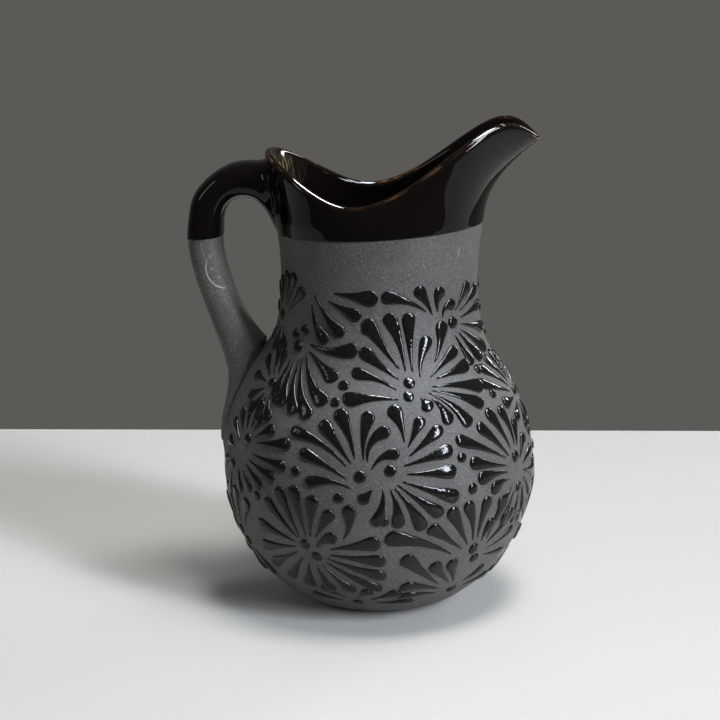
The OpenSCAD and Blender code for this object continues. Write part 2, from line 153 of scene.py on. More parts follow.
# camera, lights and table
view = {
    "distance": 1.0,     # metres from the middle of the pot, level
    "height": 0.350,
    "azimuth": 5.0,      # degrees, toward the spout
    "down": 12.6735,
    "aside": 0.5616,     # turned a little left, so that the pot stands right of the middle
    "lens": 99.56,
    "sensor": 36.0,
}
turn = math.radians(view["azimuth"])
bpy.ops.object.camera_add(
    location=(view["distance"] * math.sin(turn), -view["distance"] * math.cos(turn),
              view["height"]),
    rotation=(math.radians(90 - view["down"]), 0,
              math.radians(view["azimuth"] + view["aside"])))
camera = bpy.context.object
camera.data.sensor_width = view["sensor"]
camera.data.lens = view["lens"]
bpy.context.scene.camera = camera
bpy.context.scene.view_settings.view_transform = "Standard"

studio = {
    "backdrop": "#5b5a56",
    "ambient": 1.0,
    # name, place, size, watts, colour, and whether it lights matte surfaces too: the
    # glints show only as highlights on the glaze
    "lights": [
        ["windowRight", (3.95, -2.87, 2.4), (0.8, 3.2), 420.0, "#e9f2ff", True],
        ["windowBehind", (1.93, 2.3, 1.1), (0.3, 1.1), 24.0, "#ffffff", True],
        ["topSoft", (0.3, -0.2, 1.55), (0.6, 0.4), 18.0, "#ffffff", True],
        ["windowLeft", (-1.5, -0.7, 0.9), (0.25, 0.7), 2.5, "#eef3ff", True],
        ["glintRight", (0.8, -0.35, 1.5), (0.8, 0.3), 50.0, "#dceaff", False],
        ["glintAbove", (0.1, 0.22, 1.5), (0.45, 0.45), 90.0, "#f4f8ff", False],
    ],
    "aim": (0.0, 0.0, 0.14),    # every light points here
    "table": (2.4, 0.595),      # wide and deep
    "tableBack": 0.335,         # its far edge is this far behind the pot
}


def linear(hexColour):
    # sRGB hex to the linear colour that Blender's sockets take
    values = [int(hexColour[i:i + 2], 16) / 255 for i in (1, 3, 5)]
    return tuple(v / 12.92 if v <= 0.04045 else ((v + 0.055) / 1.055) ** 2.4
                 for v in values) + (1.0,)


def addNode(material, kind, settings=None, links=None):
    # settings are the node's own properties, its sockets' values, or a ramp's stops as
    # (place, hex colour); links are (node, output); a Mix node takes its two colours at
    # 6 and 7, and gives the mixed one at 2
    node = material.node_tree.nodes.new(kind)
    for key, value in (settings or {}).items():
        if key == "stops":
            elements = node.color_ramp.elements
            while len(elements) < len(value):
                elements.new(0.5)
            for element, (place, colour) in zip(elements, value):
                element.position, element.color = place, linear(colour)
        elif isinstance(key, str) and hasattr(node, key):
            setattr(node, key, value)
        else:
            node.inputs[key].default_value = value
    for key, (source, output) in (links or {}).items():
        material.node_tree.links.new(source.outputs[output], node.inputs[key])
    return node


def newMaterial(name):
    material = bpy.data.materials.new(name)
    material.use_nodes = True
    material.node_tree.nodes.clear()
    return material


world = bpy.data.worlds.new("studioAir")
world.use_nodes = True
air = world.node_tree.nodes["Background"]
air.inputs["Color"].default_value = linear(studio["backdrop"])
air.inputs["Strength"].default_value = studio["ambient"]
bpy.context.scene.world = world

for name, place, size, watts, colour, onMatte in studio["lights"]:
    bpy.ops.object.light_add(type="AREA", location=place)
    light = bpy.context.object
    light.name = name
    light.data.shape = "RECTANGLE"
    light.data.size, light.data.size_y = size
    light.data.energy = watts
    light.data.color = linear(colour)[:3]
    light.visible_diffuse = onMatte
    toPot = Vector(studio["aim"]) - Vector(place)
    light.rotation_euler = toPot.to_track_quat("-Z", "Y").to_euler()
print("camera and lights placed")

# the thrown wall, from the foot to the seam under the collar
pot = {
    "wall": 4.5,
    "around": 144,
    "wobble": 0.22,         # how far the thrown wall strays from round
    "wobbleSize": 35.0,     # and how far it is from one swell to the next
    "steps": 4,             # points of the smooth line for each knot
    "knots": [              # outside of the wall as (radius, height)
        (32, 0), (36.5, 2), (45, 6), (59.5, 18), (68.5, 30), (75.5, 45), (80, 68), (78.5, 85),
        (74, 102), (66.5, 118), (56, 134), (51.5, 150), (50, 166), (50.5, 182), (52.5, 200)],
    # the underside, a little hollow, from its middle to the ring it stands on
    "foot": [(3, 0.5), (14, 0.5), (24, 0.45), (27.5, 0.1), (30.5, 0)],
    "floor": 8.0,           # height of the floor inside
    "floorMiddle": 3.0,     # radius of the floor's innermost ring
    "floorInset": 7.0,      # width of the round between floor and wall
    "clearOfFloor": 3.0,    # and its height
}
wallLine = smoothLine(pot["knots"], pot["steps"])
wallLengths = [0.0]
for (r0, z0), (r1, z1) in zip(wallLine, wallLine[1:]):
    wallLengths.append(wallLengths[-1] + math.hypot(r1 - r0, z1 - z0))
radiusTable = [(s, r) for s, (r, z) in zip(wallLengths, wallLine)]
heightTable = [(s, z) for s, (r, z) in zip(wallLengths, wallLine)]
neckTable = [(z, r) for r, z in wallLine]
seamR, seamZ = wallLine[-1]


def wallAt(s):
    # radius and height of the wall's outside, s along it from the foot
    return lookUp(s, radiusTable), lookUp(s, heightTable)


def wallNormal(s):
    # which way the wall faces there, as (outward, up), read over 2 mm of it
    r0, z0 = wallAt(s - 1)
    r1, z1 = wallAt(s + 1)
    long = math.hypot(r1 - r0, z1 - z0)
    return (z1 - z0) / long, (r0 - r1) / long


def onWall(middle, place, height):
    # middle is (turn from the near side, length up the wall), place is (right, up)
    s = middle[1] + place[1]
    r, z = wallAt(s)
    nr, nz = wallNormal(s)
    turn = math.radians(middle[0]) + place[0] / r
    return (math.sin(turn) * (r + nr * height), -math.cos(turn) * (r + nr * height),
            z + nz * height)


def turned(line, around):
    # each (radius, height) of a line becomes a level ring
    return [
        [(r * math.cos(math.tau * j / around), r * math.sin(math.tau * j / around), z)
         for j in range(around)]
        for r, z in line
    ]


def insideLine(depth, floorZ):
    # the wall's line moved inwards by its thickness, with a flat floor
    line = []
    for i, (r, z) in enumerate(wallLine):
        r0, z0 = wallLine[max(i - 1, 0)]
        r1, z1 = wallLine[min(i + 1, len(wallLine) - 1)]
        long = math.hypot(r1 - r0, z1 - z0)
        line.append((r - depth * (z1 - z0) / long, z + depth * (r1 - r0) / long))
    line = [p for p in line if p[1] > floorZ + pot["clearOfFloor"]][:-1]
    return ([(pot["floorMiddle"], floorZ), (line[0][0] - pot["floorInset"], floorZ)] + line
            + [(seamR - depth, seamZ)])


wallRings = turned(pot["foot"] + wallLine + insideLine(pot["wall"], pot["floor"])[::-1],
                   pot["around"])
wall = growRings("thrown_belly_and_neck", wallRings)
ripple = bpy.data.textures.new("throwingRipple", "CLOUDS")
ripple.noise_scale = pot["wobbleSize"] * mm
finishWith(wall, "DISPLACE", texture=ripple, strength=pot["wobble"] * mm,
           texture_coords="LOCAL")
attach(wall, "root")
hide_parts("belly_and_neck")
print("wall thrown")

# the collar's glaze, which runs over the lip and down inside
collar = {
    "around": 48,
    "reach": 80.0,           # from the pot's middle to the spout's tip
    "halfWidth": 51.0,
    "back": 57.5,            # from the middle to the rim at the handle
    "point": 1.6,            # over 1 draws the front to a point
    "flare": 1.6,            # over 1 keeps the wall upright before it flares
    "hook": 0.45,            # how much more the spout undercuts its tip
    "hookFocus": 4,          # higher keeps that to the spout's very front
    "thinning": 0.35,        # how much thinner the lip is at the handle
    "coat": 0.6,
    "dipZ": 195.0,           # the dip line's height, and its rise toward the spout
    "dipRise": 3.2,
    "steps": 4,
    "knots": [               # the rim's height along the pot as (place, height)
        (-70, 240), (-57, 234), (-45, 226.5), (-32, 218.5), (-20, 212.5), (-8, 210.5),
        (5, 213.5), (18, 220), (32, 230), (45, 239.5), (57, 247), (68, 249.5), (80, 242),
        (92, 230)],
    "rises": [0, 0.2, 0.4, 0.6, 0.8, 0.92],    # the rings' shares of the way up
    "lipSwings": [0, 45, 90, 135, 180],        # and their degrees over the lip
    "bead": [(0.1, 0.35), (0.35, 0.56), (0.9, 0.6)],   # mm above the dip line, mm off the clay
    "upperShare": 0.6,       # one more ring, this far from the dip line to the seam
    "edges": [0.4, 1.0, 0.5, 1.0, 0.4],  # how thin the glaze runs over the lip
    # the red streak down the spout: past this place, this far to each side, under this height
    "keel": (51, 5, 240),
    "keelShare": 0.65,
}
rimTable = smoothLine(collar["knots"], collar["steps"])


def signedPower(value, power):
    return math.copysign(abs(value) ** power, value)


def rimPlan(angle, out):
    # the rim seen from above: round at the back and pulled to a point in front
    front = math.cos(angle) > 0
    reach = (collar["reach"] if front else collar["back"]) + out
    return (reach * math.cos(angle),
            (collar["halfWidth"] + out)
            * signedPower(math.sin(angle), collar["point"] if front else 1))


def rimZ(angle):
    # height of the middle of the lip's round
    return lookUp(rimPlan(angle, 0)[0], rimTable) - pot["wall"] / 2


def collarPoint(rise, angle, out):
    # from the neck's circle at rise 0 to the rim at rise 1
    low = ((seamR + out) * math.cos(angle), (seamR + out) * math.sin(angle))
    high = rimPlan(angle, out)
    front = max(0, math.cos(angle)) ** collar["hookFocus"]
    share = rise ** (collar["flare"] + collar["hook"] * front)
    return Vector((low[0] + (high[0] - low[0]) * share, low[1] + (high[1] - low[1]) * share,
                   seamZ + (rimZ(angle) - seamZ) * rise))


def thickness(rise, angle):
    return pot["wall"] * (1 - collar["thinning"] * rise * max(0, -math.cos(angle)))


def lipPoint(swing, angle, coat):
    # over the lip in a half round, from outside to inside
    outer = collarPoint(1, angle, coat)
    inner = collarPoint(1, angle, -thickness(1, angle) - coat)
    return ((outer + inner) / 2 + (outer - inner) / 2 * math.cos(swing)
            + Vector((0, 0, (thickness(1, angle) / 2 + coat) * math.sin(swing))))


collarAngles = [math.tau * j / collar["around"] for j in range(collar["around"])]


def neckRing(lift, share, coat):
    # a ring on the neck, lift above the dip line and then a share of the way to the seam
    ring = []
    for angle in collarAngles:
        low = collar["dipZ"] + collar["dipRise"] * math.cos(angle)
        z = low + lift + (seamZ - low) * share
        r = lookUp(z, neckTable) + coat
        ring.append((r * math.cos(angle), r * math.sin(angle), z))
    return ring


def collarRings(coat):
    # up the outside, over the lip and down the inside
    swings = [math.radians(swing) for swing in collar["lipSwings"]]
    return ([[collarPoint(rise, angle, coat) for angle in collarAngles]
             for rise in collar["rises"]]
            + [[lipPoint(swing, angle, coat) for angle in collarAngles] for swing in swings]
            + [[collarPoint(rise, angle, -thickness(rise, angle) - coat)
                for angle in collarAngles] for rise in collar["rises"][::-1]])


coat = collar["coat"]
outerRings = ([neckRing(lift, 0, out) for lift, out in collar["bead"]]
              + [neckRing(0, collar["upperShare"], coat)] + collarRings(coat))
innerRings = ([neckRing(0, 0, 0), neckRing(0, collar["upperShare"], 0)] + collarRings(0))[::-1]
insideCount = len(collar["rises"])
outsideCount = len(collar["bead"]) + 1 + insideCount
hiddenCount = len(innerRings) + 1     # the rings against the clay
edges = collar["edges"]
lipGlaze = growRings(
    "dipped_lip_glaze", outerRings + innerRings + outerRings[:1],
    {"thin": [0.0] * outsideCount + edges + [0.0] * (insideCount + hiddenCount),
     "inside": ([0.0] * (outsideCount + len(edges)) + [1.0] * insideCount
                + [0.0] * hiddenCount)}, loop=True)
finishWith(lipGlaze, "SUBSURF", **smoothing)
lipGlaze.data.attributes.new("keel", "FLOAT", "POINT")
marks = lipGlaze.data.attributes
for vertex in lipGlaze.data.vertices:     # the glaze also runs thin along the spout's keel
    x, y, z = vertex.co / mm
    fromX, halfWidth, underZ = collar["keel"]
    if x > fromX and z < underZ and marks["inside"].data[vertex.index].value == 0:
        marks["keel"].data[vertex.index].value = (
            collar["keelShare"] * max(0.0, 1 - abs(y) / halfWidth))
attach(lipGlaze, "root")
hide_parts("lip_glaze")
print("collar glazed")

# the pulled handle and its glaze
handle = {
    "width": 27.0,
    "around": 16,
    "square": 0.8,           # under 1 squares the strap's section a little
    "steps": 2,
    "dipKnot": 8,            # the glaze ends at this knot
    "bead": [(0.15, 0.6), (0.05, 0.55), (0.01, 0.3)],   # steps short of it, mm off the clay
    # outer place and height, inner place and height, half width, wrap on to the belly
    "knots": [
        (-55, 228.5, -50.5, 188, 1.62, 1.6), (-59, 227.5, -54.2, 197, 1.22, 0.9),
        (-64, 227.2, -58, 204, 1.07, 0.3), (-70, 227, -63, 208.3, 1, 0),
        (-77, 225.2, -69.5, 209.3, 0.97, 0), (-84.5, 220.7, -75, 207.3, 0.94, 0),
        (-91, 214.5, -78.5, 203, 0.92, 0), (-96, 206, -80, 197.5, 0.9, 0),
        (-98.2, 187, -80.2, 189, 0.88, 0), (-97.3, 179, -79.8, 181, 0.88, 0),
        (-94.5, 167, -77.3, 171, 0.88, 0), (-90, 154, -73.3, 159.5, 0.9, 0),
        (-85.5, 141.5, -67.5, 147, 0.93, 0.1), (-81.5, 130, -58, 133, 0.98, 0.3),
        (-78.5, 118, -60, 123.5, 1, 0.6), (-78, 109, -66.5, 113, 0.98, 0.9),
        (-79.3, 99.5, -72, 102, 0.88, 1), (-80.6, 90, -75, 91.5, 0.74, 1),
        (-79.8, 82, -76.8, 83, 0.5, 1)],
    "wrapAcross": 160.0,     # the belly's width, round which the foot is wrapped
    "rootHollow": 5.0,       # how far the soft hollow at each end reaches
    "rootBottom": 202.0,     # nothing under this belongs to the root
    "footHollow": 12.0,
    "footTop": 150.0,        # nor anything over this to the foot
}
handleLine = smoothLine(handle["knots"], handle["steps"])


def handleRing(place, coat):
    # the strap's section at a place on its line, which may lie between two rows
    low = min(int(place), len(handleLine) - 2)
    p = [a + (b - a) * (place - low) for a, b in zip(handleLine[low], handleLine[low + 1])]
    middle = ((p[0] + p[2]) / 2, (p[1] + p[3]) / 2)
    half = ((p[0] - p[2]) / 2, (p[1] - p[3]) / 2)
    more = 1 + coat / math.hypot(*half)
    ring = []
    for j in range(handle["around"]):
        angle = math.tau * j / handle["around"]
        c = signedPower(math.cos(angle), handle["square"]) * more
        w = ((handle["width"] / 2 * p[4] + coat)
             * signedPower(math.sin(angle), handle["square"]))
        ring.append((middle[0] + half[0] * c + p[5] * w * w / handle["wrapAcross"], w,
                     middle[1] + half[1] * c))
    return ring


strap = growRings("pulled_handle", [handleRing(i, 0) for i in range(len(handleLine))])
finishWith(strap, "SUBSURF", **smoothing)
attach(strap, "root")
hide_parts("handle")

dipPlace = handle["dipKnot"] * handle["steps"]
strapGlazeRings = (
    [handleRing(i, coat) for i in range(1, dipPlace)]
    + [handleRing(dipPlace - short, out) for short, out in handle["bead"]]
    + [handleRing(i, 0) for i in range(dipPlace, 0, -1)])
strapGlaze = growRings("dipped_handle_glaze", strapGlazeRings + strapGlazeRings[:1], loop=True)
finishWith(strapGlaze, "SUBSURF", **smoothing)
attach(strapGlaze, "root")
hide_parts("handle_glaze")
softenJoin(lipGlaze, strapGlaze, handle["rootHollow"] * mm,
           lambda vertex: vertex.co.x < 0 and vertex.co.z > handle["rootBottom"] * mm
           and vertex.normal.dot(vertex.co) > 0)
softenJoin(wall, strap, handle["footHollow"] * mm,
           lambda vertex: vertex.co.z < handle["footTop"] * mm
           and vertex.normal.dot(vertex.co) > 0)
print("handle pulled and glazed")

# the trailed drops
drops = {
    "tall": 1.2,
    "sink": 0.4,             # how deep a drop sits in the wall
    "fullHead": 3.4,         # a head of this radius stands at the full height
    "fullDot": 3.0,          # and so does a dot of this one
    "around": 10,
    "dotAround": 12,
    "steep": 0.62,           # under 1 the sides stand up and the top is flatter
    # share of the way to the head's middle, head radii past it, half width, height
    "rings": [
        (0, 0, 0.1, 0.16), (0.12, 0, 0.17, 0.3), (0.3, 0, 0.27, 0.46), (0.5, 0, 0.42, 0.64),
        (0.7, 0, 0.62, 0.82), (0.86, 0, 0.86, 0.95), (1, 0, 1, 1), (1, 0.35, 0.95, 0.99),
        (1, 0.65, 0.78, 0.93), (1, 0.87, 0.5, 0.75), (1, 0.98, 0.2, 0.35)],
    "dotLevels": [           # share of the radius, share of the height
        (1, -1), (1, 0.2), (0.94, 0.55), (0.78, 0.84), (0.5, 0.97), (0.2, 1)],
    "seed": 11,
    "vary": 0.05,            # share by which width and height stray, as by hand
    "backTurn": 176.0,       # the back repeats the front's flowers, turned by this
    "frontOnly": [10, 14, 16],   # but for these, which would meet others or the handle
    "handleSide": 255.0,     # and no single dot is turned past this
    # each flower: (degrees of turn, mm up the wall), dots (right, up, radius), and petals
    # (tail right, tail up, head right, head up, head radius, bow), in mm on the wall
    "flowers": [
        [(4, 106), [(7, 2.5, 3), (-7.5, -0.5, 3)], [
            (13.5, 4.5, 35, 10, 3.6, 0), (16, 9, 30, 20, 3.6, 0), (15.5, 13.5, 21, 25, 3.4, 0),
            (13.5, 16, 9, 31, 3.8, 1), (-2, 3, 8.5, 10.5, 3.2, -2), (-4, 6.5, 3.5, 21, 3.6, -3),
            (-6, 7.5, -4, 28, 3.4, -1), (-10.5, 8, -17, 28.5, 3.6, 1),
            (-12, 5.5, -25, 22.5, 3.5, 0), (-14.5, 4, -41, 18, 3.4, 3),
            (-14.5, -2, -35.5, 8, 3.4, 1), (-12, -6.5, -32.5, -5, 3.4, 2),
            (-1.5, -6.5, -5.5, -11, 3.3, 0), (3.5, -6.5, 1, -22, 3.4, -1),
            (7, -6.5, 11, -23, 3.4, -1), (9, -6, 22, -25, 3.6, -1),
            (10.5, -4.5, 30.5, -19, 3.6, 0), (13, -3, 38.5, -12, 3.6, 0),
            (15, 0.5, 37, 0, 3.6, 0)]],
        [(21, 148), [(-2, 3.5, 3), (-3.5, -3.5, 2.8)], [
            (-3, 9.5, -8.5, 35, 3.8, 1.5), (0.5, 9, 0.5, 35, 3.4, 0), (-6, 11, -19, 32, 3.8, 0),
            (-7, 5.5, -21, 18.5, 3.5, 0), (-9, 0, -26, 8.5, 3.6, 1.5),
            (-9, -5, -32, -5, 3.8, 1), (2.5, -4, 5, -8.5, 3.4, 0), (8, -5.5, 15, -16, 3.6, -1),
            (7, -2.5, 26, -18.5, 3.6, -1.5), (9, -1.5, 36, -11.5, 3.4, -1),
            (9.5, 0.5, 38, -3, 3.6, -1), (12.5, 4.5, 31, 8.5, 4, 0),
            (9.5, 5.5, 24.5, 16.5, 3.6, -0.5), (4, 6, 9, 23, 3.4, -1),
            (13, 13, 18.5, 29, 3.8, 1)]],
        [(-42, 169), [(-1, -2.5, 3.2), (2, 6, 2.8), (-4.5, 3, 2.6)], [
            (18, 26, 36.5, 24.5, 4.2, 0), (15, 22, 29.5, 16, 3.4, 0), (6.5, 24, 22, 7.5, 3.5, 1),
            (5, 19, 14, 3.5, 3.4, 1.5), (7, -0.5, 29.5, -1.5, 4, 1.5), (7.5, -4, 25, -15, 3.6, 0),
            (6, -6.5, 25.5, -27.5, 3.6, 2), (4, -8, 20, -35, 3.4, 2),
            (2, -9, 11.5, -34, 3.4, 1.5), (-1, -9, 3, -31, 3.4, 1),
            (-4, -9, -4.5, -28, 3.2, 0)]],
        [(48, 180), [(2, -1, 3.2)], [
            (-14, 6, -33, 14, 3.6, 1.5), (-10.5, 4, -17, 16, 3.4, 0.5),
            (-7, 5.5, -6, 14.5, 3.3, -1), (-4.5, 2, 1.5, 8, 3, -2), (4.5, 4.5, 14.5, 14.5, 3.8, 0),
            (8, 4, 25, 12, 3.4, 0), (8, 0.5, 29, 3.5, 3.2, 0), (8, -2.5, 31, -8, 3.2, 0),
            (7, -5, 27.5, -17.5, 3.6, 0), (5, -6, 18.5, -20, 3.6, 0),
            (2.5, -7, 10, -21, 3.2, 0)]],
        [(65, 98), [(0, 7.5, 3), (1.5, -8.5, 2.8)], [
            (-9, 8.5, -36, 22, 3.6, 0.5), (-6, 9, -21.5, 26, 3.6, 0),
            (-3, 12, -12.5, 31.5, 3.6, 0), (1.5, 12.5, -2.5, 31, 3.4, 1),
            (4, 11.5, 6.5, 23, 3.4, 0), (-8.5, 4.5, -31, 10, 3.6, 0),
            (-8.5, 1, -27.5, 2, 3.6, 1), (-7.5, -2.5, -19.5, -4.5, 3.4, 1),
            (-6, -6, -13.5, -13, 3.8, -1), (-3, -9, -9, -23, 3.4, 0), (2, -13, 1, -25, 3.4, 0),
            (5, -8, 11, -20, 3.4, 0), (7, -5, 19.5, -14.5, 3.4, 0), (8, -1.5, 24, -6, 3.4, 0),
            (8, 2, 22, 5, 3.6, 0), (5, 5, 13, 13, 3.8, 0)]],
        [(45, 60), [(-1.5, 2.5, 3), (1.5, -4, 2.8)], [
            (-15, 2, -47, 14, 4.2, 2), (-9.5, 4, -27, 17.5, 3.4, 0), (-6.5, 6, -18, 25, 3.6, 0),
            (-3.5, 8, -9, 27, 3.4, 1), (-0.5, 8.5, 2.5, 27, 3.6, -1), (3, 6, 7, 14.5, 3.4, -1),
            (6.5, 6.5, 16, 24.5, 3.6, -1), (7, 3.5, 24, 16, 3.4, 0), (8, 0, 28, 5, 3.4, 0),
            (7.5, -3.5, 25, -7, 3.4, 0)]],
        [(-21, 64), [(-3, 3.5, 2.8), (2.5, -3, 2.8)], [
            (-5.5, 7, -15.5, 29, 3.4, 0), (-2, 9, -7, 31, 3.4, 0), (0.5, 8.5, 3, 27, 3.6, 0),
            (3.5, 8.5, 11.5, 21, 3.6, 0), (3.5, 2.5, 11.5, 9, 3.2, -1), (18, 9, 22, 24, 3.4, 1.5),
            (10.5, 2.5, 32, 7, 4, 0), (10, -1, 33.5, -3, 3.8, 0), (8, -3.5, 32, -12.5, 3.8, 0),
            (7, -6, 28, -22, 3.8, 0), (4.5, -8, 14.5, -24, 3.6, 0), (1, -9, 4, -25, 3.4, 0),
            (-3, -8, -7, -24, 3.4, 0), (-6, -5, -17, -20, 3.4, 0), (-8.5, -2, -26, -13, 3.4, 0),
            (-9, 1, -30, -3, 3.4, 0), (-8.5, 4, -30, 9, 3.4, 0), (-7, 6.5, -23.5, 22, 3.4, 0)]],
        [(-56, 107), [(3.5, 7.5, 2.8), (-9, -8, 2.8)], [
            (11.5, 7, 31.5, 10, 3.8, 0), (9, 9.5, 19.5, 15, 3.4, 0), (6.5, 12, 14, 21.5, 3.3, 0),
            (4, 13, 5.5, 25, 3.2, 0), (0, 12, -3, 23, 3.2, 0), (-4, 10, -10, 18, 3.2, 0),
            (-5, 5, -17, 11, 3.2, 0), (9, 1, 32, -1, 3.4, 0), (8, -2.5, 26, -7.5, 3.4, 0),
            (6, -5, 17.5, -12.5, 3.4, 0), (3, -6.5, 9.5, -16, 3.2, 0), (-1, -8, 1, -18, 3.2, 0),
            (-10, -13, -13, -22, 3, 0), (-13, -6, -22, -9, 3, 0), (-10, 0, -20, 1.5, 3, 0)]],
        [(-49, 143), [(-2, 2, 2.8)], [
            (-4.5, 6.5, -12, 21, 3, 0), (-1, 7, -3.5, 17, 3, 0), (-6.5, 4.5, -19, 12, 3, 0),
            (-7, 1.5, -21, 2, 3, 0), (-5.5, -1.5, -17, -8, 3.2, 0), (-4, -4, -11, -14.5, 3.2, 0),
            (-1.5, -5, -2.5, -16, 3.3, 0), (1, -5, 4.5, -15, 3.3, 0), (3, -2, 6.5, -5, 3, 0)]],
        [(86, 133), [(-1, 1.5, 2.8)], [
            (-9, 2.5, -30, 12, 3.4, 0), (-6.5, 5, -22, 19, 3.4, 0), (-4, 7, -12, 22, 3.4, 0),
            (-1, 8, -2.5, 23, 3.4, 0), (2.5, 7, 7.5, 20, 3.4, 0), (-7.5, -1, -20, -1, 3.4, 0),
            (-5, -4, -13.5, -9.5, 3.4, 0), (-1.5, -5, -3, -16, 3.4, 0), (3, -4, 8, -13, 3.2, 0),
            (5, 0, 15, -3, 3.2, 0), (5, 4, 14, 9, 3.2, 0)]],
        [(-66, 178), [(-1, 1, 2.8)], [
            (2, 6.5, 4, 21, 3.2, 0), (4.5, 6, 11, 21, 3.2, 0), (7, 4, 18, 15, 3.2, 0),
            (-1.5, 6.5, -4, 18, 3, 0), (-4.5, 5, -11, 14, 3, 0), (-6, 0.5, -16, 3, 3, 0),
            (-4, -3.5, -11, -11, 3, 0), (0, -5, -1, -15, 3, 0), (4, -4, 9, -13, 3, 0)]],
        [(43, 33), [(0, 0, 2.8)], [
            (-12, 8, -35, 28, 3.6, 0), (-6, 8, -19, 22, 3.6, 0), (-3, 8, -9.5, 22, 3.4, 0),
            (4.5, 6, 14, 12, 3.4, 0), (-10, 3.5, -29, 9, 3.4, 1), (-9, -1, -26, 0, 3.4, 1),
            (7, 1, 24, 3, 3.4, 0)]],
        [(-6, 25), [(0, 0, 2.8)], [
            (-7, 1, -22, 4, 3.2, 0), (-5, 5, -15, 12, 3.2, 0), (7, 4, 20, 11, 3.4, 0),
            (8, 0, 25, 1, 3.4, 0), (1, 5.5, 6, 12, 3.4, 0)]],
        [(-62, 60), [(-2, 3, 2.8), (2.5, -2.5, 2.8)], [
            (-4, 8, -9, 24, 3.4, 0), (1, 8, 3, 25, 3.4, 0), (5, 6, 14, 21, 3.4, 0),
            (-7.5, 4, -20, 16, 3.4, 0), (-9, -1, -25, 2, 3.4, 0), (-6, -5, -17, -13, 3.4, 0),
            (-1, -8, -3, -21, 3.4, 0), (6, -6, 12, -18, 3.4, 0)]],
        [(83, 58), [(-2, 2.5, 2.8), (2, -3, 2.8)], [
            (-6, 6, -17, 14, 3.4, 0), (-3, 9, -9, 18, 3.4, 0), (2.5, 8, 6, 24, 3.4, 0),
            (6.5, 5, 18, 17, 3.4, 0), (8, 0, 25, 3, 3.4, 0), (6, -6, 17, -14, 3.4, 0),
            (1, -9, 3, -24, 3.4, 0), (-5, -7, -12, -19, 3.4, 0)]],
        [(93, 101), [(0, 1, 2.8)], [
            (-4, 4.5, -9, 11, 3, 0), (0.5, 6, 1.5, 13.5, 3, 0), (5, 3.5, 12, 8, 3, 0),
            (5.5, -1.5, 14, -3.5, 3, 0), (3, -5, 7, -14, 3, 0), (-1.5, -5.5, -3.5, -15, 3, 0),
            (-5.5, -2, -12, -4.5, 3, 0)]],
    ],
    # the single dots between the flowers: turn, length up the wall, radius
    "fillers": [
        (-9, 94.5, 2.6), (-11, 150, 2.8), (-13.5, 141, 2.5), (36.5, 112, 2.6), (40, 96, 2.8),
        (60.5, 153, 2.6), (62, 139, 2.6), (-26, 105, 2.7), (-33.5, 117, 2.4), (7, 83, 2.4),
        (70, 72, 2.5), (-44, 88, 2.5), (-2, 178, 2.4), (24, 77, 2.4), (101, 119, 2.6),
        (105, 150, 2.6), (88, 85, 2.5), (104, 86, 2.5)],
}


def dropSection(around):
    # across and up, from one foot over the top to the other, then back underneath
    over = around - 2
    points = []
    for j in range(over + 1):
        angle = math.pi * j / over
        points.append((math.cos(angle), signedPower(math.sin(angle), drops["steep"])))
    return points + [(0, -1)] * (around - over - 1)


# the master drop keeps (ring, across, up) in its points, and a copy is laid on the wall
section = dropSection(drops["around"])
masterDrop = growRings("masterDrop", [
    [(level / mm, across / mm, up / mm) for across, up in section]
    for level in range(len(drops["rings"]))])
dotAngles = [math.tau * j / drops["dotAround"] for j in range(drops["dotAround"])]
masterDot = growRings("masterDot", [
    [(share * math.cos(angle) / mm, share * math.sin(angle) / mm, up / mm)
     for angle in dotAngles]
    for share, up in drops["dotLevels"]])
chance = random.Random(drops["seed"])
footUp = 0.01       # points lower than this in a master are its foot, which sits in the wall


def copyOf(master):
    piece = master.copy()
    piece.data = master.data.copy()
    bpy.context.scene.collection.objects.link(piece)
    return piece


def layDrop(middle, petal):
    # a petal of the flower at middle, from its fine tail to its round head
    tail, head = Vector(petal[0:2]), Vector(petal[2:4])
    headR = petal[4] * (1 + chance.uniform(-drops["vary"], drops["vary"]))
    bow = petal[5]
    tall = drops["tall"] * min(1, headR / drops["fullHead"])
    tall *= 1 + chance.uniform(-drops["vary"], drops["vary"])
    along = (head - tail).normalized()
    aside = Vector((along.y, -along.x))
    piece = copyOf(masterDrop)
    for vertex in piece.data.vertices:
        share, past, wide, high = drops["rings"][round(vertex.co.x)]
        # the petal's line is a parabola that stands off its chord by the bow half-way
        tangent = (head - tail + aside * bow * 4 * (1 - 2 * share)).normalized()
        place = tail + (head - tail) * share + aside * bow * 4 * share * (1 - share)
        place = place + tangent * past * headR
        place = place + Vector((tangent.y, -tangent.x)) * vertex.co.y * wide * headR
        up = vertex.co.z
        height = tall * high * up if up > footUp else -drops["sink"]
        vertex.co = Vector(onWall(middle, place, height)) * mm
    return piece


def layDot(middle, row):
    place, r = Vector(row[0:2]), row[2]
    tall = drops["tall"] * min(1, r / drops["fullDot"])
    stretch = 1 + chance.uniform(-drops["vary"], drops["vary"])
    piece = copyOf(masterDot)
    for vertex in piece.data.vertices:
        up = vertex.co.z
        across = Vector((vertex.co.x * stretch, vertex.co.y / stretch)) * r
        height = tall * up if up > footUp else -drops["sink"]
        vertex.co = Vector(onWall(middle, place + across, height)) * mm
    return piece


def joinDrops(name, node, laid):
    selectOnly(*laid)
    if len(laid) > 1:
        bpy.ops.object.join()
    piece = bpy.context.object
    closeMesh(weld=dropWeld)
    piece.name = piece.data.name = name
    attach(piece, "root")
    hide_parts(node)
    return piece


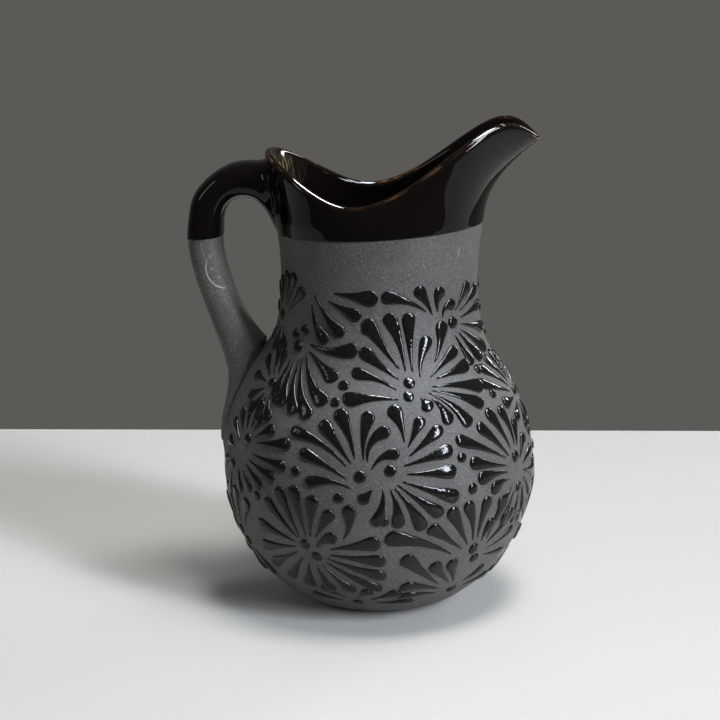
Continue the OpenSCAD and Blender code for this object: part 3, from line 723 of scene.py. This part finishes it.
dropPieces = []
for side, sideTurn in (("front", 0.0), ("back", drops["backTurn"])):
    for number, (middle, dots, petals) in enumerate(drops["flowers"], 1):
        if side == "back" and number in drops["frontOnly"]:
            continue
        place = (middle[0] + sideTurn, middle[1])
        laid = [layDot(place, dot) for dot in dots] + [layDrop(place, row) for row in petals]
        dropPieces.append(joinDrops(f"{side}_flower_drops_{number}", f"{side}_flower_{number}",
                                    laid))
    rows = [row for row in drops["fillers"] if row[0] + sideTurn < drops["handleSide"]]
    laid = [layDot((row[0] + sideTurn, row[1]), (0, 0, row[2])) for row in rows]
    dropPieces.append(joinDrops(f"{side}_single_dots", f"{side}_filler_dots", laid))
bpy.data.objects.remove(masterDrop)
bpy.data.objects.remove(masterDot)
print("drops laid on the wall")

# the table
bpy.ops.object.select_all(action="DESELECT")
bpy.ops.mesh.primitive_plane_add(size=1)
floor = bpy.context.object
wide, deep = studio["table"]
bpy.ops.transform.resize(value=(wide, deep, 1))
bpy.ops.transform.translate(value=(0, studio["tableBack"] - deep / 2, 0))
bpy.ops.object.transform_apply()
floor.rotation_euler.z = math.radians(view["azimuth"])
floor.name = "studioFloor"
print("table set")


def perMetre(size):
    # a texture's Scale for a pattern that is this many mm across
    return 1 / (size * mm)


def inMetres(place):
    return tuple(part * mm for part in place)


# Matte slip over stoneware, brushed on and wiped: slate grey and dry, with pale grit in it
# and a few hair-thin pale scuffs
slipLook = {
    "surface": {"Roughness": 0.6, "IOR": 1.45, "Specular IOR Level": 0.32},
    "cloud": 35.0,           # mm across a patch of thinner or thicker slip
    "tones": [(0.3, "#5d5b58"), (0.7, "#6b6965")],
    "grit": 0.5,             # mm; drawn coarser than real slip's, which would not show
    "gritTones": [(0.36, "#4c4c4c"), (0.5, "#7e7e7e"), (0.66, "#cacaca")],
    "gritShare": 0.8,
    "tooth": {"Strength": 0.5, "Distance": 0.00025},   # the grit's height, in metres
    "speck": 0.75,           # mm between pale specks
    "speckTones": [(0.84, "#000000"), (0.92, "#707070")],
    "speckShare": 0.35,
    "scuffHalf": 0.4,        # mm, half the width of a scuff
    "scuffColour": "#b9bab6",
    "scuffSolid": 0.6,       # share of a scuff's length before it fades
    # each scuff is part of a ring: the ring's middle and radius, the scuff's middle and
    # half its length, and how pale it is
    "scuffs": [
        [(-76.6, -12.5, 173.9), 10.8, (-85.6, -12.5, 168.5), 10.5, 0.9],
        [(-50.3, -12.5, 192.8), 40.0, (-88.7, -12.5, 181.6), 6.5, 0.2],
        [(-84.5, -12.0, 180.0), 6.6, (-80.0, -12.0, 185.3), 3.4, 0.6],
        [(45.8, -22.4, 187.0), 8.0, (41.2, -29.0, 187.0), 3.0, 0.55],
        [(54.0, -12.0, 189.0), 10.5, (46.2, -20.3, 187.0), 5.0, 0.22]],
}
slip = newMaterial("slippedClayWiped")
point = addNode(slip, "ShaderNodeTexCoord")
cloud = addNode(slip, "ShaderNodeTexNoise",
                {"Scale": perMetre(slipLook["cloud"]), "Detail": 3.0},
                {"Vector": (point, "Object")})
tone = addNode(slip, "ShaderNodeValToRGB", {"stops": slipLook["tones"]}, {"Fac": (cloud, "Fac")})
grit = addNode(slip, "ShaderNodeTexNoise",
               {"Scale": perMetre(slipLook["grit"]), "Detail": 3.0, "Roughness": 0.7},
               {"Vector": (point, "Object")})
gritTone = addNode(slip, "ShaderNodeValToRGB", {"stops": slipLook["gritTones"]},
                   {"Fac": (grit, "Fac")})
gritted = addNode(slip, "ShaderNodeMix",
                  {"data_type": "RGBA", "blend_type": "OVERLAY", 0: slipLook["gritShare"]},
                  {6: (tone, "Color"), 7: (gritTone, "Color")})
specks = addNode(slip, "ShaderNodeTexVoronoi", {"Scale": perMetre(slipLook["speck"])},
                 {"Vector": (point, "Object")})
speckTone = addNode(slip, "ShaderNodeValToRGB", {"stops": slipLook["speckTones"]},
                    {"Fac": (specks, "Color")})
speckled = addNode(slip, "ShaderNodeMix",
                   {"data_type": "RGBA", "blend_type": "ADD", 0: slipLook["speckShare"]},
                   {6: (gritted, 2), 7: (speckTone, "Color")})
scuffed = None
for ringMiddle, radius, middle, reach, pale in slipLook["scuffs"]:
    fromRing = addNode(slip, "ShaderNodeVectorMath",
                       {"operation": "DISTANCE", 1: inMetres(ringMiddle)},
                       {0: (point, "Object")})
    past = addNode(slip, "ShaderNodeMath", {"operation": "SUBTRACT", 1: radius * mm},
                   {0: (fromRing, "Value")})
    beside = addNode(slip, "ShaderNodeMath", {"operation": "ABSOLUTE"}, {0: (past, "Value")})
    line = addNode(slip, "ShaderNodeMapRange",
                   {"From Max": slipLook["scuffHalf"] * mm, "To Min": pale, "To Max": 0.0},
                   {"Value": (beside, "Value")})
    along = addNode(slip, "ShaderNodeVectorMath", {"operation": "DISTANCE", 1: inMetres(middle)},
                    {0: (point, "Object")})
    fade = addNode(slip, "ShaderNodeMapRange",
                   {"From Min": reach * mm * slipLook["scuffSolid"], "From Max": reach * mm,
                    "To Min": 1.0, "To Max": 0.0}, {"Value": (along, "Value")})
    scuff = addNode(slip, "ShaderNodeMath", {"operation": "MULTIPLY"},
                    {0: (line, "Result"), 1: (fade, "Result")})
    scuffed = scuff if scuffed is None else addNode(
        slip, "ShaderNodeMath", {"operation": "MAXIMUM"},
        {0: (scuffed, "Value"), 1: (scuff, "Value")})
worn = addNode(slip, "ShaderNodeMix",
               {"data_type": "RGBA", 7: linear(slipLook["scuffColour"])},
               {0: (scuffed, "Value"), 6: (speckled, 2)})
tooth = addNode(slip, "ShaderNodeBump", slipLook["tooth"], {"Height": (grit, "Fac")})
surface = addNode(slip, "ShaderNodeBsdfPrincipled", slipLook["surface"],
                  {"Base Color": (worn, 2), "Normal": (tooth, "Normal")})
addNode(slip, "ShaderNodeOutputMaterial", {}, {"Surface": (surface, "BSDF")})

# Gloss black glaze, dipped: wet shine, brown where it ran thin over the edges, with olive and
# amber runs inside near the handle
glossLook = {
    "surface": {"IOR": 1.52, "Roughness": 0.045, "Specular IOR Level": 0.17},
    "swell": 20.0,           # mm across a soft swell in the coat
    "swellBump": {"Strength": 0.35, "Distance": 0.001},
    "mottle": 8.0,           # mm across a patch of more or less brown at the edges
    "edgeTones": [(0.28, "#0b0806"), (0.46, "#1c110a"), (0.56, "#3d2817"), (0.68, "#70563c")],
    "streak": 2.6,           # mm across a run of glaze
    "streakRun": 0.12,       # under 1 draws the streaks out downwards
    "runTones": [(0.46, "#0b0806"), (0.54, "#2b2617"), (0.62, "#6b6340"), (0.7, "#4a2412")],
    "olive": (-42.0, -54.0),       # the runs inside show from here toward the handle
    "oliveFoot": (206.0, 220.0),   # and from here upward
    "keelTone": "#44170e",
}
gloss = newMaterial("glossGlazeDipped")
point = addNode(gloss, "ShaderNodeTexCoord")
drawn = addNode(gloss, "ShaderNodeMapping", {"Scale": (1.0, 1.0, glossLook["streakRun"])},
                {"Vector": (point, "Object")})
runs = addNode(gloss, "ShaderNodeTexNoise",
               {"Scale": perMetre(glossLook["streak"]), "Detail": 3.0},
               {"Vector": (drawn, "Vector")})
edge = addNode(gloss, "ShaderNodeAttribute", {"attribute_name": "thin"})
mottle = addNode(gloss, "ShaderNodeTexNoise",
                 {"Scale": perMetre(glossLook["mottle"]), "Detail": 4.0},
                 {"Vector": (point, "Object")})
thin = addNode(gloss, "ShaderNodeMath", {"operation": "MULTIPLY"},
               {0: (edge, "Fac"), 1: (mottle, "Fac")})
edgeTone = addNode(gloss, "ShaderNodeValToRGB", {"stops": glossLook["edgeTones"]},
                   {"Fac": (thin, "Value")})
runTone = addNode(gloss, "ShaderNodeValToRGB", {"stops": glossLook["runTones"]},
                  {"Fac": (runs, "Fac")})
axes = addNode(gloss, "ShaderNodeSeparateXYZ", {}, {0: (point, "Object")})
inner = addNode(gloss, "ShaderNodeAttribute", {"attribute_name": "inside"})
toHandle, upWall = [
    addNode(gloss, "ShaderNodeMapRange", {"From Min": nearer * mm, "From Max": farther * mm},
            {"Value": (axes, axis)})
    for (nearer, farther), axis in ((glossLook["olive"], "X"), (glossLook["oliveFoot"], "Z"))]
there = addNode(gloss, "ShaderNodeMath", {"operation": "MULTIPLY"},
                {0: (toHandle, "Result"), 1: (upWall, "Result")})
shown = addNode(gloss, "ShaderNodeMath", {"operation": "MULTIPLY"},
                {0: (there, "Value"), 1: (inner, "Fac")})
streaked = addNode(gloss, "ShaderNodeMix", {"data_type": "RGBA"},
                   {0: (shown, "Value"), 6: (edgeTone, "Color"), 7: (runTone, "Color")})
keelShare = addNode(gloss, "ShaderNodeAttribute", {"attribute_name": "keel"})
glazeTone = addNode(gloss, "ShaderNodeMix",
                    {"data_type": "RGBA", 7: linear(glossLook["keelTone"])},
                    {0: (keelShare, "Fac"), 6: (streaked, 2)})
swells = addNode(gloss, "ShaderNodeTexNoise",
                 {"Scale": perMetre(glossLook["swell"]), "Detail": 0.5},
                 {"Vector": (point, "Object")})
swellBump = addNode(gloss, "ShaderNodeBump", glossLook["swellBump"], {"Height": (swells, "Fac")})
surface = addNode(gloss, "ShaderNodeBsdfPrincipled", glossLook["surface"],
                  {"Base Color": (glazeTone, 2), "Normal": (swellBump, "Normal")})
addNode(gloss, "ShaderNodeOutputMaterial", {}, {"Surface": (surface, "BSDF")})

# Black glaze drops, trailed from a slip bulb: near-black and wet, with soft waves on top
dropLook = {
    "surface": {"IOR": 1.5, "Roughness": 0.09, "Specular IOR Level": 0.23},
    "patch": 1.1,            # mm across a patch of blacker or browner glaze
    "tones": [(0.3, "#0d0c0b"), (0.7, "#181614")],
    "wave": 3.0,             # mm across a wave in the glaze
    "waveBump": {"Strength": 0.45, "Distance": 0.0004},
}
dropGlaze = newMaterial("dropGlazeTrailed")
point = addNode(dropGlaze, "ShaderNodeTexCoord")
patches, waves = [
    addNode(dropGlaze, "ShaderNodeTexNoise", {"Scale": perMetre(dropLook[size]), "Detail": 2.0},
            {"Vector": (point, "Object")})
    for size in ("patch", "wave")]
dropTone = addNode(dropGlaze, "ShaderNodeValToRGB", {"stops": dropLook["tones"]},
                   {"Fac": (patches, "Fac")})
waveBump = addNode(dropGlaze, "ShaderNodeBump", dropLook["waveBump"], {"Height": (waves, "Fac")})
surface = addNode(dropGlaze, "ShaderNodeBsdfPrincipled", dropLook["surface"],
                  {"Base Color": (dropTone, "Color"), "Normal": (waveBump, "Normal")})
addNode(dropGlaze, "ShaderNodeOutputMaterial", {}, {"Surface": (surface, "BSDF")})

# Bare stoneware, scraped: warm brown and sandy; it shows only where the glaze misses it
bareLook = {
    "surface": {"Roughness": 0.85},
    "sand": 1.1,             # mm across a grain; drawn coarser than real, which would not show
    "tones": [(0.3, "#5a4a3e"), (0.7, "#7a685a")],
}
bare = newMaterial("bareStonewareScraped")
point = addNode(bare, "ShaderNodeTexCoord")
sand = addNode(bare, "ShaderNodeTexNoise", {"Scale": perMetre(bareLook["sand"])},
               {"Vector": (point, "Object")})
sandTone = addNode(bare, "ShaderNodeValToRGB", {"stops": bareLook["tones"]},
                   {"Fac": (sand, "Fac")})
surface = addNode(bare, "ShaderNodeBsdfPrincipled", bareLook["surface"],
                  {"Base Color": (sandTone, "Color")})
addNode(bare, "ShaderNodeOutputMaterial", {}, {"Surface": (surface, "BSDF")})

# Pale stone table, honed: plain, with a soft wide shine
tableLook = {"Base Color": linear("#c4c3be"), "Roughness": 0.5, "Specular IOR Level": 0.3}
table = newMaterial("paleStoneHoned")
surface = addNode(table, "ShaderNodeBsdfPrincipled", tableLook)
addNode(table, "ShaderNodeOutputMaterial", {}, {"Surface": (surface, "BSDF")})

coats = [(wall, slip), (strap, slip), (lipGlaze, gloss), (strapGlaze, gloss), (floor, table)]
for piece, material in coats + [(piece, dropGlaze) for piece in dropPieces]:
    piece.data.materials.clear()
    piece.data.materials.append(material)
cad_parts["liner_glaze"].material_slots[0].material = gloss
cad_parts["collar_with_spout"].material_slots[0].material = bare
print("finishes given")
